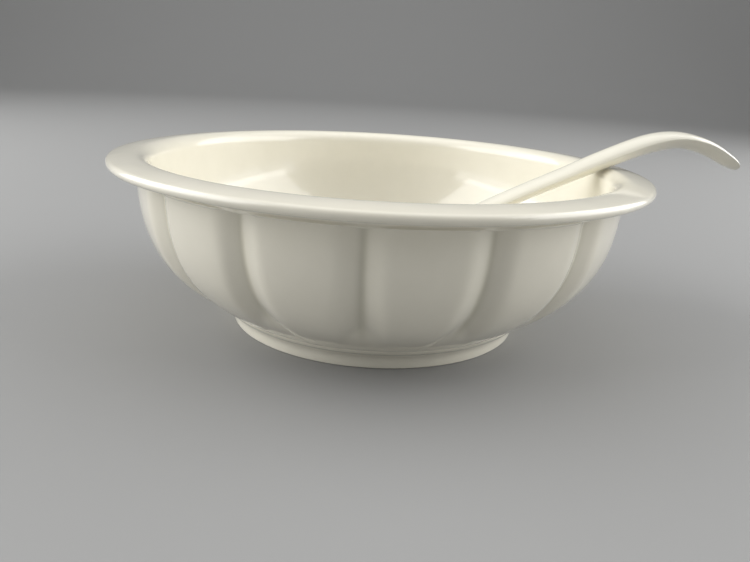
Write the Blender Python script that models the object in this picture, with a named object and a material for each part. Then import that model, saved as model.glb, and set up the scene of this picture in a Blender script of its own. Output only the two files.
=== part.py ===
"""Porcelain soup bowl with a fluted wall and an out-turned rim, and the porcelain ladle resting in it.

Metres, +Z up. The foot ring stands on z = 0, the ladle's handle points along +X, and the origin lies
under the middle of the whole object's box. Run it with: blender --background --python part.py
"""

import math

import bmesh
import bpy
from mathutils import Matrix, Vector
from mathutils.geometry import interpolate_bezier

MM = 0.001

# Bowl, as radius and height from its own axis on the table.
FOOT_INNER_R = 60.0 * MM
FOOT_OUTER_R = 64.2 * MM
FOOT_EDGE_R = 0.8 * MM
FOOT_RECESS_Z = 4.0 * MM
FOOT_TOP = (65.3 * MM, 5.1 * MM)
WALL_FOOT = (69.2 * MM, 9.2 * MM)
WALL_FOOT_SLOPE = math.radians(33.8)
WALL_FOOT_REACH = 22.0 * MM
WALL_TOP = (103.8 * MM, 66.0 * MM)
WALL_TOP_REACH = 35.2 * MM
COLLAR_R = 2.4 * MM
RIM_R = 115.0 * MM
RIM_EDGE_R = 1.93 * MM
RIM_EDGE_Z = 70.4 * MM
RIM_CREST = (104.1 * MM, 73.25 * MM)
SHOULDER_R = 5.5 * MM
INNER_TOP_REACH = 39.2 * MM
FLOOR_R = 22.2 * MM
FLOOR_REACH = 55.1 * MM
FLOOR_Z = 8.5 * MM

# Flutes: fifteen rounded lobes parted by creases. A crease is cut to full depth along most of the
# wall. Near the foot a flat facet fills it, rising out of it to nothing, and it fades under the rim.
LOBES = 15
CREASE_DEPTH = 3.1 * MM
CREASE_HALF_WIDTH = math.radians(6.2)
CREASE_ROUNDNESS = 1.8
FACET_LOW_Z = 10.0 * MM
FACET_HIGH_Z = 22.0 * MM
FADE_LOW_Z = 61.0 * MM
FADE_HIGH_Z = 65.5 * MM

# Facets of the bowl: points along each curve of its outline, and around it.
SEGMENTS_PER_LOBE = 8
WALL_STEPS = 11
INNER_STEPS = 9
ROUND_STEPS = 3
SLIGHT_STEPS = 2

# Ladle scoop: a deep oval shell whose mouth leans up towards the handle. Its centre is the middle of
# the mouth, from the bowl's own axis on the table.
SCOOP_CENTRE = Vector((-4.0, 0.0, 36.1)) * MM
SCOOP_LENGTH_R = 34.0 * MM
SCOOP_WIDTH_R = 32.0 * MM
SCOOP_DEPTH = 27.0 * MM
SCOOP_WALL = 2.8 * MM
SCOOP_LEAN = math.radians(12.0)
SCOOP_SEGMENTS = 40
SCOOP_STEPS = 8
LIP_STEPS = 4

# Ladle handle: stations in millimetres from the bowl's axis along the handle, each with its height,
# half thickness and half width. The first lies inside the scoop's wall, and the tip closes the last.
HANDLE_STATIONS = [
    (27.9, 39.4, 3.4, 8.5),
    (36.0, 44.6, 4.0, 7.6),
    (47.0, 51.0, 4.0, 6.8),
    (66.0, 60.8, 3.8, 6.3),
    (82.0, 68.4, 3.9, 6.3),
    (96.0, 75.2, 4.2, 6.4),
    (112.0, 82.3, 4.4, 6.6),
    (123.0, 85.9, 4.3, 6.8),
    (134.0, 87.2, 3.7, 7.1),
    (145.5, 84.7, 3.4, 7.5),
    (154.5, 80.3, 3.0, 7.2),
    (158.5, 78.2, 2.4, 6.1),
    (161.1, 76.5, 1.5, 4.2),
]
HANDLE_TIP = Vector((162.4, 0.0, 75.6)) * MM
STEPS_PER_STATION = 3
HANDLE_SIDES = 16

# The bowl's axis sits back from the origin, so that the whole object's box is centred on it.
BOWL_AXIS = Vector(((RIM_R - HANDLE_TIP.x) / 2, 0.0, 0.0))

BOWL_GLAZE = (0.82, 0.80, 0.72, 1.0)
LADLE_GLAZE = (0.84, 0.82, 0.75, 1.0)
GLAZE_ROUGHNESS = 0.12
SHARP_ANGLE = math.radians(40.0)
MERGE_DISTANCE = 0.001 * MM


def clear_scene():
    for item in list(bpy.data.objects):
        bpy.data.objects.remove(item, do_unlink=True)


def glaze(name, colour):
    """Clear glossy glaze over a white body."""
    material = bpy.data.materials.new(name)
    material.use_nodes = True
    shader = material.node_tree.nodes["Principled BSDF"]
    shader.inputs["Base Color"].default_value = colour
    shader.inputs["Roughness"].default_value = GLAZE_ROUGHNESS
    shader.inputs["Metallic"].default_value = 0.0
    return material


def place(name, mesh, material, location):
    """Object made from a finished bmesh, shaded smooth apart from its sharp edges."""
    data = bpy.data.meshes.new(name)
    mesh.to_mesh(data)
    mesh.free()
    data.materials.append(material)
    data.shade_smooth()
    data.set_sharp_from_angle(angle=SHARP_ANGLE)
    item = bpy.data.objects.new(name, data)
    item.location = location
    bpy.context.collection.objects.link(item)
    return item


def arc(centre, radius, start, end, steps):
    """Points along a circular arc in the radius-height plane, angles in degrees."""
    points = []
    for step in range(steps + 1):
        angle = math.radians(start + (end - start) * step / steps)
        points.append((centre[0] + radius * math.cos(angle), centre[1] + radius * math.sin(angle)))
    return points


def bezier(start, start_handle, end_handle, end, steps):
    """Points along a cubic curve in the radius-height plane."""
    knots = [Vector((r, 0.0, z)) for r, z in (start, start_handle, end_handle, end)]
    return [(point.x, point.z) for point in interpolate_bezier(*knots, steps + 1)]


def share(low, high, value):
    """How far a value has come from low to high, from 0 to 1."""
    return min(1.0, max(0.0, (value - low) / (high - low)))


def draw_outline(mesh, outline):
    """Chain of edges along an outline in the XZ plane, returned as its vertices."""
    verts = [mesh.verts.new((r, 0.0, z)) for r, z in outline]
    for pair in zip(verts, verts[1:]):
        mesh.edges.new(pair)
    return verts


def spin_closed(mesh, segments):
    """Spin the mesh's one outline about Z, and close it where it meets itself and the axis."""
    outline = mesh.verts[:] + mesh.edges[:]
    turn = {"axis": (0, 0, 1), "angle": math.tau, "steps": segments, "use_merge": True}
    bmesh.ops.spin(mesh, geom=outline, **turn)
    bmesh.ops.remove_doubles(mesh, verts=mesh.verts[:], dist=MERGE_DISTANCE)
    bmesh.ops.recalc_face_normals(mesh, faces=mesh.faces[:])


def foot_outline():
    """Recessed underside and foot ring, from the axis out to the band under the wall."""
    edge_centre = (FOOT_OUTER_R - FOOT_EDGE_R, FOOT_EDGE_R)
    return [
        (0.0, FOOT_RECESS_Z),
        (FOOT_INNER_R - FOOT_EDGE_R, FOOT_RECESS_Z),
        (FOOT_INNER_R, FOOT_EDGE_R),
        (FOOT_INNER_R + FOOT_EDGE_R, 0.0),
        *arc(edge_centre, FOOT_EDGE_R, -90.0, 0.0, SLIGHT_STEPS),
        FOOT_TOP,
    ]


def wall_outline():
    """Outer wall along the crests of the lobes."""
    start_handle = (
        WALL_FOOT[0] + WALL_FOOT_REACH * math.cos(WALL_FOOT_SLOPE),
        WALL_FOOT[1] + WALL_FOOT_REACH * math.sin(WALL_FOOT_SLOPE),
    )
    end_handle = (WALL_TOP[0], WALL_TOP[1] - WALL_TOP_REACH)
    return bezier(WALL_FOOT, start_handle, end_handle, WALL_TOP, WALL_STEPS)


def rim_outline():
    """Collar, rolled edge, arched top and the shoulder that turns down into the bowl."""
    edge_centre = (RIM_R - RIM_EDGE_R, RIM_EDGE_Z)
    collar_centre = (WALL_TOP[0] + COLLAR_R, RIM_EDGE_Z - RIM_EDGE_R - COLLAR_R)
    shoulder_centre = (RIM_CREST[0], RIM_CREST[1] - SHOULDER_R)
    # The top is an arc, level at the crest and tangent to the rolled edge.
    run = edge_centre[0] - RIM_CREST[0]
    drop = RIM_CREST[1] - RIM_EDGE_Z
    top_r = (run**2 + drop**2 - RIM_EDGE_R**2) / (2 * (drop - RIM_EDGE_R))
    top_centre = (RIM_CREST[0], RIM_CREST[1] - top_r)
    meet = 90.0 - math.degrees(math.asin(run / (top_r - RIM_EDGE_R)))
    return [
        *arc(collar_centre, COLLAR_R, 180.0, 90.0, SLIGHT_STEPS)[1:],
        *arc(edge_centre, RIM_EDGE_R, -90.0, 0.0, ROUND_STEPS),
        *arc(edge_centre, RIM_EDGE_R, 0.0, meet, SLIGHT_STEPS)[1:],
        *arc(top_centre, top_r, meet, 90.0, SLIGHT_STEPS)[1:],
        *arc(shoulder_centre, SHOULDER_R, 90.0, 180.0, ROUND_STEPS)[1:],
    ]


def inner_outline():
    """Plain inner wall and floor, from under the shoulder back to the axis."""
    start = (RIM_CREST[0] - SHOULDER_R, RIM_CREST[1] - SHOULDER_R)
    start_handle = (start[0], start[1] - INNER_TOP_REACH)
    end_handle = (FLOOR_R + FLOOR_REACH, FLOOR_Z)
    wall = bezier(start, start_handle, end_handle, (FLOOR_R, FLOOR_Z), INNER_STEPS)
    return wall[1:] + [(0.0, FLOOR_Z)]


def deepest_pushes(wall):
    """The deepest push that each point of the wall gets, square to the wall, as radius and height."""
    pushes = {}
    for low, point, high in zip(wall, wall[1:], wall[2:]):
        facet = share(FACET_LOW_Z, FACET_HIGH_Z, point[1]) ** 2
        fade = 1.0 - share(FADE_LOW_Z, FADE_HIGH_Z, point[1])
        inward = Vector((low[1] - high[1], high[0] - low[0])).normalized()
        pushes[point] = inward * CREASE_DEPTH * facet * fade
    return pushes


def press_crease(vert, deepest):
    """Move one point of the wall in by the crease's depth at its angle, down to the deepest push."""
    around = math.atan2(vert.co.y, vert.co.x)
    pitch = math.tau / LOBES
    from_crease = abs((around + pitch / 2) % pitch - pitch / 2)
    depth = CREASE_DEPTH * share(CREASE_HALF_WIDTH, 0.0, from_crease) ** CREASE_ROUNDNESS
    push = deepest * min(1.0, depth / deepest.length)
    vert.co += Matrix.Rotation(around, 3, "Z") @ push


def make_bowl(material):
    """Turned bowl with its foot ring, then the creases between the lobes pressed into its wall."""
    wall = wall_outline()
    outline = foot_outline() + wall + rim_outline() + inner_outline()
    pushes = deepest_pushes(wall)
    mesh = bmesh.new()
    deepest_layer = mesh.verts.layers.float_vector.new("deepest_push")
    for vert, point in zip(draw_outline(mesh, outline), outline):
        if point in pushes:
            vert[deepest_layer] = pushes[point].x, 0.0, pushes[point].y
    spin_closed(mesh, LOBES * SEGMENTS_PER_LOBE)
    for vert in mesh.verts:
        if vert[deepest_layer].length > 0.0:
            press_crease(vert, vert[deepest_layer].copy())
    return place("bowl", mesh, material, BOWL_AXIS)


def scoop_outline():
    """Outer shell up to the mouth, the rounded lip, and the inner shell back to the axis."""
    outer = []
    inner = []
    for step in range(SCOOP_STEPS + 1):
        angle = math.radians(90.0) * step / SCOOP_STEPS
        across = math.sin(angle)
        down = -math.cos(angle)
        outer.append((SCOOP_LENGTH_R * across, SCOOP_DEPTH * down))
        inner.append(((SCOOP_LENGTH_R - SCOOP_WALL) * across, (SCOOP_DEPTH - SCOOP_WALL) * down))
    lip_centre = (SCOOP_LENGTH_R - SCOOP_WALL / 2, 0.0)
    lip = arc(lip_centre, SCOOP_WALL / 2, 0.0, 180.0, LIP_STEPS)[1:-1]
    return outer + lip + inner[::-1]


def make_scoop(material):
    """Oval scoop, leaned so that its mouth rises towards the handle. The handle is joined to it."""
    mesh = bmesh.new()
    draw_outline(mesh, scoop_outline())
    spin_closed(mesh, SCOOP_SEGMENTS)
    oval = Matrix.Diagonal((1.0, SCOOP_WIDTH_R / SCOOP_LENGTH_R, 1.0, 1.0))
    lean = Matrix.Rotation(-SCOOP_LEAN, 4, "Y")
    bmesh.ops.transform(mesh, matrix=lean @ oval, verts=mesh.verts[:])
    scoop = place("scoop_shape", mesh, material, BOWL_AXIS + SCOOP_CENTRE)
    scoop.hide_render = True
    scoop.display_type = "WIRE"
    return scoop


def blend_stations(stations, steps):
    """Smooth run of stations: each span is a cubic whose end slopes come from its neighbours."""
    last = len(stations) - 1
    run = []
    for index in range(last):
        before = Vector(stations[max(index - 1, 0)])
        start = Vector(stations[index])
        end = Vector(stations[index + 1])
        after = Vector(stations[min(index + 2, last)])
        for step in range(steps):
            t = step / steps
            start_part = (2 * t**3 - 3 * t**2 + 1) * start + (t**3 - 2 * t**2 + t) * (end - before) / 2
            end_part = (3 * t**2 - 2 * t**3) * end + (t**3 - t**2) * (after - start) / 2
            run.append(start_part + end_part)
    run.append(Vector(stations[last]))
    return run


def add_ring(mesh, station, slope):
    """One oval section of the handle, square to a slope in the XZ plane."""
    reach, height, half_thickness, half_width = station * MM
    up = Vector((-math.sin(slope), 0.0, math.cos(slope)))
    centre = Vector((reach, 0.0, height)) - SCOOP_CENTRE
    ring = []
    for side in range(HANDLE_SIDES):
        angle = math.tau * side / HANDLE_SIDES
        across = Vector((0.0, half_width * math.cos(angle), 0.0))
        ring.append(mesh.verts.new(centre + across + up * half_thickness * math.sin(angle)))
    return ring


def make_handle(material):
    """Handle lofted from its root in the scoop's wall to its tip, about the scoop's centre."""
    run = blend_stations(HANDLE_STATIONS, STEPS_PER_STATION)
    mesh = bmesh.new()
    rings = []
    for index, station in enumerate(run):
        before = run[max(index - 1, 0)]
        after = run[min(index + 1, len(run) - 1)]
        slope = math.atan2(after[1] - before[1], after[0] - before[0])
        # The root section stands upright in the scoop's wall, and the next ones turn to the slope.
        rings.append(add_ring(mesh, station, slope * min(1.0, index / STEPS_PER_STATION)))
    tip = mesh.verts.new(HANDLE_TIP - SCOOP_CENTRE)
    mesh.faces.new(rings[0])
    for side in range(HANDLE_SIDES):
        beside = (side + 1) % HANDLE_SIDES
        for low, high in zip(rings, rings[1:]):
            mesh.faces.new((low[side], low[beside], high[beside], high[side]))
        mesh.faces.new((rings[-1][side], rings[-1][beside], tip))
    bmesh.ops.recalc_face_normals(mesh, faces=mesh.faces[:])
    return place("ladle", mesh, material, BOWL_AXIS + SCOOP_CENTRE)


def make_ladle(material):
    """One-piece ladle whose origin is the middle of the scoop's mouth, on the axis it lifts along."""
    ladle = make_handle(material)
    join = ladle.modifiers.new("join_scoop", "BOOLEAN")
    join.operation = "UNION"
    join.object = make_scoop(material)
    return ladle


clear_scene()
make_bowl(glaze("bowl_glaze", BOWL_GLAZE))
make_ladle(glaze("ladle_glaze", LADLE_GLAZE))
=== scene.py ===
"""Fluted porcelain soup bowl and its one-piece porcelain ladle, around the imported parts.

Metres, +Z up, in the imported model's frame: the table is z = 0 and the ladle's handle points along +X.
Both pieces are modelled from the bowl's own axis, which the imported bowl's box gives, and stay within
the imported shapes' boxes.
"""

import math

import bmesh
import bpy
import numpy as np
from mathutils import Matrix, Vector


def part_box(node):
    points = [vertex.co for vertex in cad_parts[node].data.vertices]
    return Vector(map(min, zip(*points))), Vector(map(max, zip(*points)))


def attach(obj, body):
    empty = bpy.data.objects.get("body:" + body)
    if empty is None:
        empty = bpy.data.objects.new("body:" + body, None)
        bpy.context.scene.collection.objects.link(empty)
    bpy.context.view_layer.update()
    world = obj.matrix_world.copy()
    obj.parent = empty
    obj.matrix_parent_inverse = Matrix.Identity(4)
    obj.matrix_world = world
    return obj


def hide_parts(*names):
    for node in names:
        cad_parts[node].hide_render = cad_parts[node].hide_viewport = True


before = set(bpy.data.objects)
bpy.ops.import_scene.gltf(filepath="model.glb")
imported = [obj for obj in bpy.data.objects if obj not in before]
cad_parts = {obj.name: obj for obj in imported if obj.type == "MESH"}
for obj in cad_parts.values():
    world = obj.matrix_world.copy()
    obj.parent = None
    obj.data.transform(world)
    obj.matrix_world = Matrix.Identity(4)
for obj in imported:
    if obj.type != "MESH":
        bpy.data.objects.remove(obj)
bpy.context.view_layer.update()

MM = 0.001

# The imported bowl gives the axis, the rim's radius and the height that everything else hangs on.
BOWL_LOW, BOWL_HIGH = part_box("bowl")
AXIS = Vector(((BOWL_LOW.x + BOWL_HIGH.x) / 2, (BOWL_LOW.y + BOWL_HIGH.y) / 2, BOWL_LOW.z))
RIM_R = (BOWL_HIGH.x - BOWL_LOW.x) / 2
CREST_Z = BOWL_HIGH.z - BOWL_LOW.z

# Foot, as radius and height from the axis. The ring's face bends out through a cove to a narrow band,
# and the band meets the wall at a small round edge.
FOOT_INNER_R = 60.0 * MM
FOOT_OUTER_R = 64.5 * MM
FOOT_ROUND_R = 0.7 * MM
FOOT_RECESS_Z = 4.0 * MM
RECESS_ROUND_R = 1.5 * MM
FOOT_FACE_Z = 2.6 * MM
COVE_LOW = (64.5 * MM, 5.6 * MM)
COVE_HIGH = (66.6 * MM, 6.9 * MM)
BAND_FOOT = (68.45 * MM, 7.7 * MM)
BAND_EDGE_R = 0.3 * MM
BAND_EDGE_START = -25.0
BAND_EDGE_END = -5.0

# Outer wall, along the crests of its lobes.
WALL_FOOT = (69.2 * MM, 9.2 * MM)
WALL_FOOT_SLOPE = math.radians(33.8)
WALL_FOOT_REACH = 22.0 * MM
WALL_TOP = (103.8 * MM, 66.0 * MM)
WALL_TOP_REACH = 35.2 * MM
BEAD_Z = 65.0 * MM
BEAD_HALF_HEIGHT = 0.75 * MM
BEAD_STAND = 0.5 * MM
COLLAR_R = 2.4 * MM

# Rim: a rolled edge, a shallow arched top and the shoulder that turns down into the bowl. The inside is
# a plain wall from the shoulder to a level floor.
RIM_EDGE_R = 1.93 * MM
RIM_EDGE_Z = 70.4 * MM
CREST_R = 104.1 * MM
SHOULDER_R = 5.5 * MM
INNER_TOP_REACH = 39.2 * MM
FLOOR_R = 22.2 * MM
FLOOR_REACH = 55.1 * MM
FLOOR_Z = 8.5 * MM

# Flutes: fifteen lobes parted by creases, each with two nearly flat flanks. Near the foot a flat
# facet opens out of each crease, and the creases run out just under the rim.
LOBES = 15
PITCH = math.tau / LOBES
CREASE_DEPTH = 3.1 * MM
FLANK = math.radians(6.0)
LOW_FLANK = math.radians(7.8)
LOW_FLANK_Z = 18.0 * MM
HIGH_FLANK_Z = 48.0 * MM
FLANK_STRAIGHT = 0.35
VALLEY = math.radians(0.3)
FACET_FOOT_SHARE = 0.05
FACET_TOP_Z = 22.5 * MM
FACET_CURVE = 2.8
FACET_EDGE = 5.0
FADE_LOW_Z = 63.6 * MM
FADE_HIGH_Z = 66.6 * MM

# Painted shade darkens the valley of a crease, across this width of the crease's profile.
CREASE_SHADE_WIDTH = 0.16

# Mesh of the bowl: columns per lobe crowd towards the creases, and rings follow the outline's bends,
# no further apart than the steps given here. The flat discs at its two ends thin out by the ratios.
ARC_SAMPLES = 91
CURVE_SAMPLES = 1201
COLUMNS_PER_HALF_LOBE = 15
COLUMN_CROWDING = 1.25
RING_TURN = math.radians(11.0)
FOOT_STEP = 1.2 * MM
LOW_WALL_STEP = 0.72 * MM
HIGH_WALL_STEP = 2.4 * MM
RIM_STEP = 1.4 * MM
INSIDE_STEP = 3.0 * MM
LOW_WALL_TOP_Z = FACET_TOP_Z + 3.0 * MM
SAME_RING = 0.01 * MM
CAP_RATIOS = (3, 3, 5)

# Ladle, from the bowl's axis on the table. A handle station is its reach, height, half thickness and
# half width, in millimetres. Each section is a rounded lozenge with a soft ridge along either side.
SCOOP_CENTRE = Vector((-4.0, 0.0, 36.1)) * MM
SCOOP_HALF_AXES = Vector((34.0, 32.0, 27.0)) * MM
SCOOP_WALL = 2.8 * MM
SCOOP_LEAN = math.radians(12.0)
LIP_RISE = 1.35 * MM
HANDLE_STATIONS = [
    (36.0, 44.6, 4.0, 7.6),
    (47.0, 51.0, 4.0, 6.8),
    (66.0, 60.8, 3.8, 6.3),
    (82.0, 68.4, 3.9, 6.3),
    (96.0, 75.2, 4.2, 6.4),
    (112.0, 82.3, 4.4, 6.6),
    (123.0, 85.9, 4.3, 6.8),
    (134.0, 87.2, 3.7, 7.1),
    (145.5, 84.7, 3.4, 7.5),
    (154.5, 80.3, 2.9, 7.2),
    (158.5, 78.2, 2.3, 6.1),
    (161.0, 76.5, 1.5, 4.3),
]
HANDLE_TIP = Vector((162.1, 0.0, 75.7)) * MM
HANDLE_SIDES = 16
BEND_PULL = 1 / 6
SECTION_POWER = 1.65
RIDGE_START = 100.0 * MM
RIDGE_FULL = 155.0 * MM
RIDGE_RISE = 0.5
RIDGE_POWER = 1.5
RIDGE_SHARPNESS = 0.5
TIP_EDGE_REACH = 0.5
TIP_BULGE = 1.2

# Cage of the ladle. The scoop's shells come from a cube's grid, and SHELL_DROPS are their rings, in
# steps of that grid below the mouth. The handle's root spans the first of them. Subdivision draws a
# section of the handle in to SECTION_SHRINK of its cage, and the fit keeps the round shape just inside
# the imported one.
GRID = 8
HALF_GRID = GRID // 2
CUBE_STEPS = [math.tan(math.radians(45.0) * step / HALF_GRID) for step in range(-HALF_GRID, HALF_GRID + 1)]
SHELL_DROPS = (0.0, 0.4, 1.0, 2.0, 3.0, 4.0)
ROOT_RINGS = 3
SPAN_STEPS = 2
SECTION_SHRINK = (4 + 2 * math.cos(math.tau / HANDLE_SIDES)) / 6
SECTION_FIT = 0.985
SUBDIVISIONS = 3

# Body colours of the two glazes, thin and where they lie thick, and of what is in and under them. The
# bowl's thick colour is also painted into its creases as shade.
BOWL_WHITE = (0.84, 0.805, 0.69, 1.0)
BOWL_THICK_AND_SHADE = (0.70, 0.67, 0.55, 1.0)
LADLE_WHITE = (0.84, 0.81, 0.70, 1.0)
LADLE_THICK = (0.72, 0.69, 0.59, 1.0)
IRON = (0.33, 0.24, 0.15, 1.0)
CLAY = (0.78, 0.75, 0.68, 1.0)
SOIL = (0.5, 0.47, 0.41, 1.0)

# Glaze: how much of the thick colour drifts in at random, how much of it is painted into the creases as
# shade, the sizes of its patches, specks and pits, the share of cells that hold one, and the heights of
# its bumps.
CLOUD_SIZE = 38 * MM
FINE_CLOUD_SIZE = 9 * MM
CLOUD_RANGE = (0.7, 1.3)
DRIFT = 0.16
CREASE_SHADE_STRENGTH = 0.85
SPECK_CELL = 11 * MM
SPECK_R = 0.16 * MM
SPECK_SHARE = 0.05
SPECK_STRENGTH = 0.55
DOT_SOFTNESS = 0.4
PIT_CELL = 7 * MM
PIT_R = 0.2 * MM
PIT_SHARE = 0.10
PIT_DEPTH = 0.05 * MM
UNDULATION_SIZE = 21 * MM
UNDULATION_HEIGHT = 0.09 * MM
PEEL_SIZE = 4.2 * MM
PEEL_HEIGHT = 0.016 * MM
SHEEN_SIZE = 16 * MM
SHEEN_RANGE = (0.3, 0.7)
BODY_ROUGHNESS = (0.30, 0.42)
BODY_SPECULAR = 0.25
GLAZE_ROUGHNESS = 0.085
GLAZE_IOR = 1.5

# Bare clay: patches of soil and the height of its grain.
SOIL_SIZE = 2.5 * MM
SOIL_RANGE = (0.45, 0.75)
GRAIN_SIZE = 0.35 * MM
GRAIN_HEIGHT = 0.04 * MM
CLAY_ROUGHNESS = 0.85

# Stage: a flat disc with a swept edge and a wall, a faint even fill, and the camera, which is placed
# from the bowl's axis on the table.
STAGE_FLAT_R = 1.7
STAGE_SWEEP_R = 0.9
STAGE_WALL_Z = 2.0
STAGE_SWEEP_STEPS = 12
STAGE_SIDES = 96
STAGE_COLOUR = (0.30, 0.30, 0.297, 1.0)
STAGE_ROUGHNESS = 0.75
FILL_COLOUR = (0.95, 0.97, 1.0, 1.0)
FILL_STRENGTH = 0.03
CAMERA_PLACE = Vector((-20.17, -311.9, 113.66)) * MM
CAMERA_HEADING = math.radians(3.72)
CAMERA_DOWN = math.radians(17.464)
CAMERA_ROLL = math.radians(3.394)
CAMERA_LENS = 33.58


# ---------------------------------------------------------------- outline


def arc(centre, radius, start, end):
    """Fine points along a circular arc in the radius-height plane, angles in degrees."""
    angles = np.radians(np.linspace(start, end, ARC_SAMPLES))
    return np.stack([centre[0] + radius * np.cos(angles), centre[1] + radius * np.sin(angles)], 1)


def bezier(start, start_handle, end_handle, end):
    """Fine points along a cubic curve in the radius-height plane."""
    t = np.linspace(0.0, 1.0, CURVE_SAMPLES)[:, None]
    knots = [np.array(point) for point in (start, start_handle, end_handle, end)]
    weights = [(1 - t) ** 3, 3 * (1 - t) ** 2 * t, 3 * (1 - t) * t**2, t**3]
    return sum(weight * knot for weight, knot in zip(weights, knots))


def foot_outline():
    """Recess under the bowl, the foot ring, and the cove that runs from its face out to a narrow band."""
    ring_out = (FOOT_OUTER_R - FOOT_ROUND_R, FOOT_ROUND_R)
    ring_in = (FOOT_INNER_R + FOOT_ROUND_R, FOOT_ROUND_R)
    corner = (FOOT_INNER_R - RECESS_ROUND_R, FOOT_RECESS_Z - RECESS_ROUND_R)
    edge_centre = (WALL_FOOT[0] - BAND_EDGE_R, WALL_FOOT[1] - BAND_EDGE_R)
    edge = arc(edge_centre, BAND_EDGE_R, BAND_EDGE_START, BAND_EDGE_END)
    return [
        arc(corner, RECESS_ROUND_R, 90.0, 0.0),
        arc(ring_in, FOOT_ROUND_R, 180.0, 270.0),
        arc(ring_out, FOOT_ROUND_R, 270.0, 360.0),
        bezier((FOOT_OUTER_R, FOOT_FACE_Z), COVE_LOW, COVE_HIGH, BAND_FOOT),
        np.array([BAND_FOOT, edge[0]]),
        edge,
    ]


def wall_outline():
    """Outer wall along the crests, with the thin bead that runs round it under the rim."""
    start_handle = (
        WALL_FOOT[0] + WALL_FOOT_REACH * math.cos(WALL_FOOT_SLOPE),
        WALL_FOOT[1] + WALL_FOOT_REACH * math.sin(WALL_FOOT_SLOPE),
    )
    end_handle = (WALL_TOP[0], WALL_TOP[1] - WALL_TOP_REACH)
    wall = bezier(WALL_FOOT, start_handle, end_handle, WALL_TOP)
    from_bead = np.clip(np.abs(wall[:, 1] - BEAD_Z) / BEAD_HALF_HEIGHT, 0.0, 1.0)
    wall[:, 0] += BEAD_STAND * (1 + np.cos(np.pi * from_bead)) / 2
    return wall


def rim_outline():
    """Collar, rolled edge, arched top and shoulder."""
    edge_centre = (RIM_R - RIM_EDGE_R, RIM_EDGE_Z)
    collar_centre = (WALL_TOP[0] + COLLAR_R, RIM_EDGE_Z - RIM_EDGE_R - COLLAR_R)
    shoulder_centre = (CREST_R, CREST_Z - SHOULDER_R)
    # The top is an arc, level at the crest and tangent to the rolled edge.
    run = edge_centre[0] - CREST_R
    drop = CREST_Z - RIM_EDGE_Z
    top_r = (run**2 + drop**2 - RIM_EDGE_R**2) / (2 * (drop - RIM_EDGE_R))
    meet = 90.0 - math.degrees(math.asin(run / (top_r - RIM_EDGE_R)))
    return [
        arc(collar_centre, COLLAR_R, 180.0, 90.0),
        arc(edge_centre, RIM_EDGE_R, -90.0, meet),
        arc((CREST_R, CREST_Z - top_r), top_r, meet, 90.0),
        arc(shoulder_centre, SHOULDER_R, 90.0, 180.0),
    ]


def inner_outline():
    """Plain inner wall, down to the level floor."""
    start = (CREST_R - SHOULDER_R, CREST_Z - SHOULDER_R)
    start_handle = (start[0], start[1] - INNER_TOP_REACH)
    end_handle = (FLOOR_R + FLOOR_REACH, FLOOR_Z)
    return bezier(start, start_handle, end_handle, (FLOOR_R, FLOOR_Z))


def thin_out(points, longest):
    """The fewest points of a fine outline with no step over a length or a turn over RING_TURN."""
    steps = np.diff(points, axis=0)
    lengths = np.maximum(np.linalg.norm(steps, axis=1), 1e-12)
    headings = np.unwrap(np.arctan2(steps[:, 1], steps[:, 0]))
    turns = np.abs(np.diff(headings, prepend=headings[0]))
    cost = np.maximum(lengths / longest, turns / RING_TURN)
    travelled = np.concatenate([[0.0], np.cumsum(cost)])
    count = max(2, math.ceil(travelled[-1]) + 1)
    wanted = np.linspace(0.0, travelled[-1], count)
    return np.stack([np.interp(wanted, travelled, points[:, axis]) for axis in (0, 1)], 1)


# ---------------------------------------------------------------- bowl


def share(low, high, value):
    """How far a value has come from low to high, from 0 to 1."""
    return np.clip((value - low) / (high - low), 0.0, 1.0)


def ease(t):
    """Smooth step from 0 to 1."""
    return t * t * (3 - 2 * t)


def column_angles():
    """Angles of the mesh's columns, crowded towards the crease in the middle of each pitch."""
    half = (np.arange(COLUMNS_PER_HALF_LOBE + 1) / COLUMNS_PER_HALF_LOBE) ** COLUMN_CROWDING * PITCH / 2
    around_crease = np.concatenate([-half[:0:-1], half[:-1]])
    return (np.arange(LOBES)[:, None] * PITCH + around_crease[None, :]).ravel()


def crease_profile(heights, angles):
    """Depth of a crease across its two flanks, as a share of its depth in the middle."""
    from_crease = np.abs((angles + PITCH / 2) % PITCH - PITCH / 2)[None, :]
    flank = LOW_FLANK + (FLANK - LOW_FLANK) * ease(share(LOW_FLANK_Z, HIGH_FLANK_Z, heights))
    u = np.clip((np.hypot(from_crease, VALLEY) - VALLEY) / flank[:, None], 0.0, 1.0)
    bend = np.clip((u - FLANK_STRAIGHT) / (1 - FLANK_STRAIGHT), 0.0, 1.0)
    rounded = (1 - FLANK_STRAIGHT) * ((1 - bend) / 2 - np.sin(np.pi * bend) / math.tau)
    straight = np.maximum(FLANK_STRAIGHT - u, 0.0)
    return (straight + rounded) / (FLANK_STRAIGHT + (1 - FLANK_STRAIGHT) / 2)


def crease_depths(heights, profile):
    """Depth of the flutes at each height and angle of the outer wall."""
    fade = 1 - ease(share(FADE_LOW_Z, FADE_HIGH_Z, heights))
    # The facet limits how deep a crease can go, and the two blend over a narrow edge.
    flank = CREASE_DEPTH * fade[:, None] * profile
    rise = (heights - WALL_FOOT[1]) / (FACET_TOP_Z - WALL_FOOT[1])
    facet = CREASE_DEPTH * (FACET_FOOT_SHARE + (1 - FACET_FOOT_SHARE) * rise**FACET_CURVE)[:, None]
    both = (flank**FACET_EDGE + facet**FACET_EDGE) ** (1 / FACET_EDGE)
    return flank * facet / both


def outline_normals(points):
    """Unit vectors to the left of the way along an outline, which is into the bowl's wall."""
    way = np.gradient(points, axis=0)
    across = np.stack([-way[:, 1], way[:, 0]], 1)
    return across / np.linalg.norm(across, axis=1)[:, None]


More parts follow.
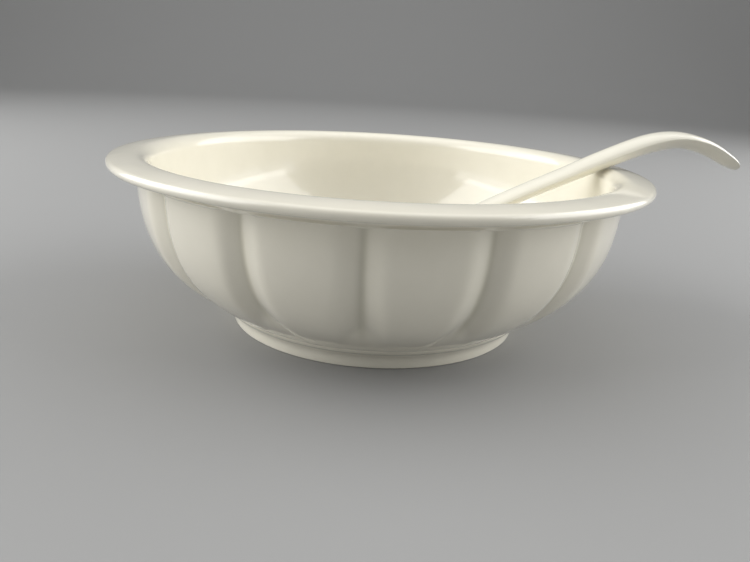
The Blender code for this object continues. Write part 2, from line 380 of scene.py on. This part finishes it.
def plain_rings(outline, longest, columns):
    """Radius, height and painted crease shade of rings that have no flutes, and so no painted shade."""
    points = thin_out(outline, longest)
    even = np.ones((1, columns))
    return points[:, :1] * even, points[:, 1:] * even, np.zeros((len(points), columns))


def fluted_rings(angles):
    """Radius, height and painted crease shade of the outer wall's rings."""
    wall = wall_outline()
    low = wall[wall[:, 1] < LOW_WALL_TOP_Z]
    high = wall[wall[:, 1] >= low[-1, 1]]
    # The first ring of the wall is a narrow one, which keeps its edge against the band crisp.
    rise = [low[:1], thin_out(low[2:], LOW_WALL_STEP), thin_out(high, HIGH_WALL_STEP)[1:]]
    wall = np.concatenate(rise)
    profile = crease_profile(wall[:, 1], angles)
    depth = crease_depths(wall[:, 1], profile)
    into = outline_normals(wall)
    # Painted shade: the valley of each crease is darkened, and more so where the crease is deeper.
    valley = np.exp(-(((profile - 1) / CREASE_SHADE_WIDTH) ** 2))
    crease_shade = valley * (depth / CREASE_DEPTH)
    return wall[:, :1] + depth * into[:, :1], wall[:, 1:] + depth * into[:, 1:], crease_shade


def bowl_rings():
    """Radius, height and painted crease shade of every ring and column of the bowl, from recess to floor.
    """
    angles = column_angles()
    parts = [plain_rings(outline, FOOT_STEP, len(angles)) for outline in foot_outline()]
    parts.append(fluted_rings(angles))
    parts += [plain_rings(outline, RIM_STEP, len(angles)) for outline in rim_outline()]
    parts.append(plain_rings(inner_outline(), INSIDE_STEP, len(angles)))
    radius, height, crease_shade = (np.concatenate(rows) for rows in zip(*parts))
    # Neighbouring stretches share their end points, so a ring that repeats the last one goes.
    moved = np.abs(np.diff(radius, axis=0)).max(1) + np.abs(np.diff(height, axis=0)).max(1)
    keep = np.concatenate([[True], moved > SAME_RING])
    return angles, radius[keep], height[keep], crease_shade[keep]


def bridge(mesh, outer, inner, flip):
    """Faces between two rings, where the outer has two or more vertices to each inner one."""
    ratio = len(outer) // len(inner)
    for index in range(len(inner)):
        corner = inner[index]
        beyond = inner[(index + 1) % len(inner)]
        run = [outer[(index * ratio + step) % len(outer)] for step in range(ratio + 1)]
        middle = (ratio + 1) // 2
        fan_low = [(corner, low, high) for low, high in zip(run[:middle], run[1 : middle + 1])]
        fan_high = [(beyond, low, high) for low, high in zip(run[middle:], run[middle + 1 :])]
        link = [(corner, run[middle], beyond)]
        for face in fan_low + link + fan_high:
            mesh.faces.new(face[::-1] if flip else face)


def close_disc(mesh, ring, centre, flip):
    """Flat disc inside a ring, with fewer and fewer vertices towards its centre."""
    start = [vert.co.copy() for vert in ring]
    for level, ratio in enumerate(CAP_RATIOS, 1):
        reach = 1 - level / (len(CAP_RATIOS) + 1)
        skip = len(start) // (len(ring) // ratio)
        inner = [mesh.verts.new(centre.lerp(co, reach)) for co in start[::skip]]
        bridge(mesh, ring, inner, flip)
        ring = inner
    middle = mesh.verts.new(centre)
    for low, high in zip(ring, ring[1:] + ring[:1]):
        mesh.faces.new((low, middle, high) if flip else (low, high, middle))


def make_bowl():
    """Bowl as one closed mesh, which carries how much painted shade darkens its creases."""
    angles, radius, height, crease_shade = bowl_rings()
    x = AXIS.x + radius * np.cos(angles)
    y = AXIS.y + radius * np.sin(angles)
    mesh = bmesh.new()
    crease_shade_layer = mesh.verts.layers.float.new("crease_shade")
    rings = []
    for row in range(len(radius)):
        ring = [mesh.verts.new(co) for co in zip(x[row], y[row], height[row])]
        for vert, amount in zip(ring, crease_shade[row]):
            vert[crease_shade_layer] = amount
        rings.append(ring)
    for low, high in zip(rings, rings[1:]):
        for column in range(len(low)):
            beside = (column + 1) % len(low)
            mesh.faces.new((low[column], low[beside], high[beside], high[column]))
    close_disc(mesh, rings[0], AXIS + Vector((0, 0, FOOT_RECESS_Z)), True)
    close_disc(mesh, rings[-1], AXIS + Vector((0, 0, FLOOR_Z)), False)
    return finished("porcelain_bowl", mesh)


def finished(name, mesh):
    """Object made from a bmesh, shaded smooth, with its faces pointing out."""
    bmesh.ops.recalc_face_normals(mesh, faces=mesh.faces[:])
    data = bpy.data.meshes.new(name)
    mesh.to_mesh(data)
    mesh.free()
    data.shade_smooth()
    item = bpy.data.objects.new(name, data)
    bpy.context.scene.collection.objects.link(item)
    return item


# ---------------------------------------------------------------- ladle


def shell_point(x, y, z, half_axes):
    """Point of the scoop's shell on the ray through a point of a cube, about the mouth's centre."""
    ray = Vector((x, y, z)).normalized()
    return Vector((ray.x * half_axes.x, ray.y * half_axes.y, ray.z * half_axes.z))


def square_ring():
    """Points round a square of half width 1, anticlockwise, with index 0 in the middle of +X."""
    ends = CUBE_STEPS[:-1]
    points = [(1.0, step) for step in ends] + [(-step, 1.0) for step in ends]
    points += [(-1.0, -step) for step in ends] + [(step, -1.0) for step in ends]
    return points[HALF_GRID:] + points[:HALF_GRID]


def shell_ring(drop, half_axes):
    """Ring of a shell, a number of grid steps below its mouth."""
    z = -math.tan(math.radians(45.0) * drop / HALF_GRID)
    return [shell_point(x, y, z, half_axes) for x, y in square_ring()]


def lean(point):
    """From the scoop's own upright frame to its place in the bowl, leaned towards the handle."""
    return AXIS + SCOOP_CENTRE + Matrix.Rotation(-SCOOP_LEAN, 3, "Y") @ point


def add_loop(mesh, points):
    """Vertices of a closed loop, with no faces yet."""
    return [mesh.verts.new(point) for point in points]


def join_loops(mesh, low, high, skip=()):
    """Faces between two loops, apart from the ones to skip."""
    for index in range(len(low)):
        if index in skip:
            continue
        beside = (index + 1) % len(low)
        mesh.faces.new((low[index], low[beside], high[beside], high[index]))


def close_shell(mesh, ring, half_axes):
    """Bottom of a shell: a square grid inside its lowest ring."""
    inside = {}
    for index, (x, y) in enumerate(square_ring()):
        inside[round(x, 6), round(y, 6)] = ring[index]
    for x in CUBE_STEPS[1:-1]:
        for y in CUBE_STEPS[1:-1]:
            bottom = lean(shell_point(x, y, -1.0, half_axes))
            inside[round(x, 6), round(y, 6)] = mesh.verts.new(bottom)
    for left, right in zip(CUBE_STEPS, CUBE_STEPS[1:]):
        for low, high in zip(CUBE_STEPS, CUBE_STEPS[1:]):
            corners = ((left, low), (right, low), (right, high), (left, high))
            mesh.faces.new([inside[round(x, 6), round(y, 6)] for x, y in corners])


def blend_stations(stations, steps):
    """Smooth run of stations: each span is a cubic whose end slopes come from its neighbours."""
    last = len(stations) - 1
    run = []
    for index in range(last):
        before = Vector(stations[max(index - 1, 0)])
        start = Vector(stations[index])
        end = Vector(stations[index + 1])
        after = Vector(stations[min(index + 2, last)])
        for step in range(steps):
            t = step / steps
            start_part = (2 * t**3 - 3 * t**2 + 1) * start + (t**3 - 2 * t**2 + t) * (end - before) / 2
            end_part = (3 * t**2 - 2 * t**3) * end + (t**3 - t**2) * (after - start) / 2
            run.append(start_part + end_part)
    run.append(Vector(stations[last]))
    return run


def handle_section(station, slope):
    """Points round one section of the handle, widest at a soft ridge that rises towards the tip."""
    reach, height, half_thickness, half_width = station * MM
    swell = SECTION_FIT / SECTION_SHRINK
    up = Vector((-math.sin(slope), 0.0, math.cos(slope)))
    ridge = RIDGE_RISE * float(ease(share(RIDGE_START, RIDGE_FULL, reach)))
    middle = AXIS + Vector((reach, 0.0, height))
    points = []
    for side in range(HANDLE_SIDES):
        angle = math.tau * side / HANDLE_SIDES
        across = math.copysign(abs(math.cos(angle)) ** (2 / SECTION_POWER), math.cos(angle))
        upward = math.copysign(abs(math.sin(angle)) ** (2 / SECTION_POWER), math.sin(angle))
        upward += ridge * abs(across) ** RIDGE_POWER
        sideways = Vector((0.0, half_width * across * swell, 0.0))
        points.append(middle + sideways + up * half_thickness * upward * swell)
    return points


def make_ladle():
    """Ladle as a coarse cage, rounded by subdivision: the handle grows out of the scoop's lip."""
    mesh = bmesh.new()
    # Subdivision reads how sharp an edge stays from the layer of this name.
    sharp = mesh.edges.layers.float.new("crease_edge")
    inner_axes = SCOOP_HALF_AXES - Vector((1, 1, 1)) * SCOOP_WALL
    lip_axes = SCOOP_HALF_AXES - Vector((1, 1, 1)) * SCOOP_WALL / 2
    lip = [point + Vector((0, 0, LIP_RISE)) for point in shell_ring(0.0, lip_axes)]
    outer = [add_loop(mesh, map(lean, shell_ring(drop, SCOOP_HALF_AXES))) for drop in SHELL_DROPS]
    inner = [add_loop(mesh, map(lean, shell_ring(drop, inner_axes))) for drop in SHELL_DROPS]
    top = add_loop(mesh, map(lean, lip))
    sides = 4 * GRID
    # The handle grows out of four columns of faces at +X, which are left out.
    root = (sides - 2, sides - 1, 0, 1)
    join_loops(mesh, top, outer[0], root)
    for index, (low, high) in enumerate(zip(outer, outer[1:])):
        join_loops(mesh, low, high, root if index < ROOT_RINGS else ())
    join_loops(mesh, inner[0], top)
    for low, high in zip(inner, inner[1:]):
        join_loops(mesh, high, low)
    close_shell(mesh, outer[-1], SCOOP_HALF_AXES)
    close_shell(mesh, inner[-1], inner_axes)
    # The opening left for the handle, in the order of the handle's own sides.
    left, right = 2, sides - 2
    opening = [outer[1][left], outer[0][left], top[left], top[1], top[0], top[sides - 1], top[right]]
    opening += [outer[0][right], outer[1][right], outer[2][right], outer[3][right]]
    opening += [outer[3][sides - 1], outer[3][0], outer[3][1], outer[3][left], outer[2][left]]
    run = blend_stations(HANDLE_STATIONS, SPAN_STEPS)
    loops = [opening]
    # Subdivision pulls the handle in at its bends, so the cage stands out there by as much.
    for index, station in enumerate(run):
        before = run[max(index - 1, 0)]
        after = run[min(index + 1, len(run) - 1)]
        bend = before - 2 * station + after if 0 < index < len(run) - 1 else Vector((0, 0, 0, 0))
        slope = math.atan2(after[1] - before[1], after[0] - before[0])
        loops.append(add_loop(mesh, handle_section(station - bend * BEND_PULL, slope)))
    for low, high in zip(loops, loops[1:]):
        join_loops(mesh, low, high)
    for low, high in zip(loops[1:], loops[2:]):
        for side in (0, HANDLE_SIDES // 2):
            mesh.edges.get((low[side], high[side]))[sharp] = RIDGE_SHARPNESS
    close_tip(mesh, loops[-1])
    ladle = finished("porcelain_ladle", mesh)
    round_off = ladle.modifiers.new("round_off", "SUBSURF")
    round_off.levels = SUBDIVISIONS
    round_off.render_levels = SUBDIVISIONS
    depsgraph = bpy.context.evaluated_depsgraph_get()
    data = bpy.data.meshes.new_from_object(ladle.evaluated_get(depsgraph))
    ladle.modifiers.clear()
    ladle.data = data
    data.shade_smooth()
    return ladle


def close_tip(mesh, ring):
    """Rounded end of the handle: a square grid inside its last section, drawn out to the tip."""
    quarter = HANDLE_SIDES // 4
    corner = quarter // 2
    top = [ring[corner + step] for step in range(quarter + 1)]
    bottom = [ring[(corner + 3 * quarter - step) % HANDLE_SIDES] for step in range(quarter + 1)]
    near = [ring[(corner - step) % HANDLE_SIDES] for step in range(quarter + 1)]
    far = [ring[corner + quarter + step] for step in range(quarter + 1)]
    grid = {}
    out = AXIS + HANDLE_TIP - sum((vert.co for vert in ring), Vector()) / len(ring)
    for row in range(quarter + 1):
        v = row / quarter
        for column in range(quarter + 1):
            u = column / quarter
            if row == 0:
                grid[row, column] = top[column]
            elif row == quarter:
                grid[row, column] = bottom[column]
            elif column == 0:
                grid[row, column] = near[row]
            elif column == quarter:
                grid[row, column] = far[row]
            else:
                flat = top[column].co.lerp(bottom[column].co, v)
                flat = flat.lerp(near[row].co.lerp(far[row].co, u), 0.5)
                bulge = min(1.0, TIP_EDGE_REACH + TIP_BULGE * min(u, 1 - u, v, 1 - v))
                grid[row, column] = mesh.verts.new(flat + out * bulge)
    for row in range(quarter):
        for column in range(quarter):
            corners = ((row, column), (row, column + 1), (row + 1, column + 1), (row + 1, column))
            mesh.faces.new([grid[place] for place in corners])


# ---------------------------------------------------------------- materials


class Shading:
    """Node tree of one material, built a node at a time."""

    def __init__(self, name):
        self.material = bpy.data.materials.new(name)
        self.material.use_nodes = True
        self.shader = self.material.node_tree.nodes["Principled BSDF"]

    def fill(self, node, inputs):
        """Link or set a node's inputs, named or numbered."""
        for key, value in inputs.items():
            socket = node.inputs[key]
            if isinstance(value, bpy.types.NodeSocket):
                self.material.node_tree.links.new(value, socket)
            else:
                socket.default_value = value

    def add(self, kind, inputs, **settings):
        """New node of a kind, with its settings made before its inputs are filled."""
        node = self.material.node_tree.nodes.new("ShaderNode" + kind)
        for key, value in settings.items():
            setattr(node, key, value)
        self.fill(node, inputs)
        return node

    def place(self):
        """Position on the object, in metres from the bowl's axis on the table."""
        coordinates = self.add("TexCoord", {}).outputs["Object"]
        return self.add("VectorMath", {0: coordinates, 1: AXIS}, operation="SUBTRACT").outputs[0]

    def noise(self, size, detail=1.0, rough=0.5):
        """Noise whose patches are about that size."""
        inputs = {"Vector": self.place(), "Scale": 1 / size, "Detail": detail, "Roughness": rough}
        return self.add("TexNoise", inputs).outputs["Fac"]

    def math(self, operation, *values):
        """Result of one Math node."""
        return self.add("Math", dict(enumerate(values)), operation=operation).outputs[0]

    def ramp(self, value, low, high, to_low=0.0, to_high=1.0):
        """Straight ramp from to_low, where the value is low, to to_high."""
        inputs = {"Value": value, "From Min": low, "From Max": high, "To Min": to_low, "To Max": to_high}
        return self.add("MapRange", inputs).outputs[0]

    def mix(self, share_of_second, first, second):
        """Blend of two colours, by the numbers that the Mix node's colour sockets have."""
        return self.add("Mix", {0: share_of_second, 6: first, 7: second}, data_type="RGBA").outputs[2]

    def dots(self, cell, radius, kept):
        """Round dots of that radius, one to a cell, in that share of the cells."""
        cells = self.add("TexVoronoi", {"Vector": self.place(), "Scale": 1 / cell})
        chance = self.add("SeparateColor", {0: cells.outputs["Color"]}).outputs[0]
        edge = radius / cell
        rim = (edge * (1 + DOT_SOFTNESS), edge * (1 - DOT_SOFTNESS))
        inside = self.ramp(cells.outputs["Distance"], *rim)
        return self.math("MULTIPLY", inside, self.math("LESS_THAN", chance, kept))

    def bump(self, height, depth, under=None):
        """Surface raised by a height from 0 to 1 times a depth, over another bump."""
        inputs = {"Height": height, "Distance": depth, "Strength": 1.0}
        if under is not None:
            inputs["Normal"] = under
        return self.add("Bump", inputs).outputs["Normal"]


def glazed(name, white, thick_and_shade):
    """White porcelain under a clear glossy glaze: deeper in colour in random clouds, and darker in the
    bowl's creases as painted shade.
    """
    shading = Shading(name)
    wide, fine = (shading.noise(size, detail=2.0) for size in (CLOUD_SIZE, FINE_CLOUD_SIZE))
    drift = shading.ramp(shading.math("ADD", wide, fine), *CLOUD_RANGE, 0.0, DRIFT)
    # Painted shade in the bowl's creases, read from its mesh. The ladle carries none. It is added to the
    # random clouds, and both move the colour towards the thick one.
    crease_shade = shading.add("Attribute", {}, attribute_name="crease_shade").outputs["Fac"]
    depth = shading.math("ADD", drift, shading.math("MULTIPLY", crease_shade, CREASE_SHADE_STRENGTH))
    colour = shading.mix(depth, white, thick_and_shade)
    specks = shading.dots(SPECK_CELL, SPECK_R, SPECK_SHARE)
    colour = shading.mix(shading.math("MULTIPLY", specks, SPECK_STRENGTH), colour, IRON)
    # The glaze drew in slow undulations as it cooled, with a finer orange peel over them.
    slow = shading.bump(shading.noise(UNDULATION_SIZE), UNDULATION_HEIGHT)
    peel = shading.bump(shading.noise(PEEL_SIZE, detail=1.5), PEEL_HEIGHT, slow)
    unpitted = shading.math("SUBTRACT", 1.0, shading.dots(PIT_CELL, PIT_R, PIT_SHARE))
    surface = shading.bump(unpitted, PIT_DEPTH, peel)
    sheen = shading.noise(SHEEN_SIZE, detail=3.0)
    shading.fill(
        shading.shader,
        {
            "Base Color": colour,
            "Roughness": shading.ramp(sheen, *SHEEN_RANGE, *BODY_ROUGHNESS),
            "Specular IOR Level": BODY_SPECULAR,
            "Coat Weight": 1.0,
            "Coat Roughness": GLAZE_ROUGHNESS,
            "Coat IOR": GLAZE_IOR,
            "Normal": surface,
            "Coat Normal": surface,
        },
    )
    return shading.material


def unglazed(name):
    """Bare fired clay of the foot ring: dry, fine-grained and a little soiled."""
    shading = Shading(name)
    soil = shading.ramp(shading.noise(SOIL_SIZE, detail=4.0, rough=0.65), *SOIL_RANGE)
    grain = shading.bump(shading.noise(GRAIN_SIZE, detail=3.0), GRAIN_HEIGHT)
    colour = shading.mix(soil, CLAY, SOIL)
    shading.fill(shading.shader, {"Base Color": colour, "Roughness": CLAY_ROUGHNESS, "Normal": grain})
    return shading.material


# ---------------------------------------------------------------- stage


def area_light(name, place, size, power, target=(0.0, 0.0, 0.04)):
    """Soft box that faces a target, which is the bowl unless stated."""
    data = bpy.data.lights.new(name, "AREA")
    data.shape = "RECTANGLE"
    data.size, data.size_y = size
    data.energy = power
    item = bpy.data.objects.new(name, data)
    item.location = AXIS + Vector(place)
    item.rotation_euler = (AXIS + Vector(target) - item.location).to_track_quat("-Z", "Y").to_euler()
    item.visible_camera = False
    bpy.context.scene.collection.objects.link(item)


def make_floor():
    """Pale floor that sweeps up into a wall all round, with no corner to see."""
    mesh = bmesh.new()
    outline = [(0.0, 0.0), (STAGE_FLAT_R, 0.0)]
    for step in range(1, STAGE_SWEEP_STEPS + 1):
        angle = math.radians(90.0) * step / STAGE_SWEEP_STEPS
        sweep = (STAGE_SWEEP_R * math.sin(angle), STAGE_SWEEP_R * (1 - math.cos(angle)))
        outline.append((STAGE_FLAT_R + sweep[0], sweep[1]))
    outline.append((STAGE_FLAT_R + STAGE_SWEEP_R, STAGE_WALL_Z))
    verts = [mesh.verts.new((r, 0.0, z)) for r, z in outline]
    edges = [mesh.edges.new(pair) for pair in zip(verts, verts[1:])]
    turn = {"axis": (0, 0, 1), "angle": math.tau, "steps": STAGE_SIDES, "use_merge": True}
    bmesh.ops.spin(mesh, geom=verts + edges, **turn)
    bmesh.ops.remove_doubles(mesh, verts=mesh.verts[:], dist=0.0001)
    floor = finished("floor", mesh)
    floor.location.z = BOWL_LOW.z
    material = bpy.data.materials.new("floor_paint")
    material.use_nodes = True
    shader = material.node_tree.nodes["Principled BSDF"]
    shader.inputs["Base Color"].default_value = STAGE_COLOUR
    shader.inputs["Roughness"].default_value = STAGE_ROUGHNESS
    floor.data.materials.append(material)


def make_camera():
    """Camera a little above the rim, in front of the bowl, turned and tilted slightly."""
    data = bpy.data.cameras.new("camera")
    data.lens = CAMERA_LENS
    data.clip_start = 0.01
    camera = bpy.data.objects.new("camera", data)
    heading = Matrix.Rotation(-CAMERA_HEADING, 4, "Z")
    pitch = Matrix.Rotation(math.radians(90.0) - CAMERA_DOWN, 4, "X")
    roll = Matrix.Rotation(CAMERA_ROLL, 4, "Z")
    camera.matrix_world = Matrix.Translation(AXIS + CAMERA_PLACE) @ heading @ pitch @ roll
    bpy.context.scene.collection.objects.link(camera)
    bpy.context.scene.camera = camera


def make_lights():
    """Soft boxes over and beside the bowl, one that lights the wall behind it, and the even fill."""
    world = bpy.data.worlds.new("world")
    bpy.context.scene.world = world
    world.use_nodes = True
    background = world.node_tree.nodes["Background"]
    background.inputs["Color"].default_value = FILL_COLOUR
    background.inputs["Strength"].default_value = FILL_STRENGTH
    # Places and sizes are in metres from the bowl's axis on the table, and powers in watts.
    area_light("over", (0.0, 0.1, 1.4), (2.4, 1.6), 12.5)
    area_light("left", (-0.95, 0.0, 0.62), (1.4, 0.75), 12.5)
    area_light("left_low", (-1.0, -0.06, 0.19), (1.4, 0.32), 3.4)
    area_light("right", (0.95, 0.0, 0.62), (1.4, 0.75), 11.2)
    area_light("right_low", (1.0, -0.06, 0.19), (1.4, 0.32), 3.0)
    area_light("backdrop", (0.0, 1.0, 1.5), (1.6, 0.5), 15.0, target=(0.0, 2.6, 0.5))
    bpy.context.scene.view_settings.view_transform = "Standard"


make_camera()
bowl = make_bowl()
ladle = make_ladle()
bowl.data.materials.append(glazed("bowl_glaze", BOWL_WHITE, BOWL_THICK_AND_SHADE))
bowl.data.materials.append(unglazed("bare_foot"))
for face in bowl.data.polygons:
    if face.center.z < BOWL_LOW.z + FOOT_ROUND_R / 2:
        face.material_index = 1
ladle.data.materials.append(glazed("ladle_glaze", LADLE_WHITE, LADLE_THICK))
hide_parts("bowl")
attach(bowl, "bowl")
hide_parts("ladle")
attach(ladle, "ladle")
make_floor()
make_lights()
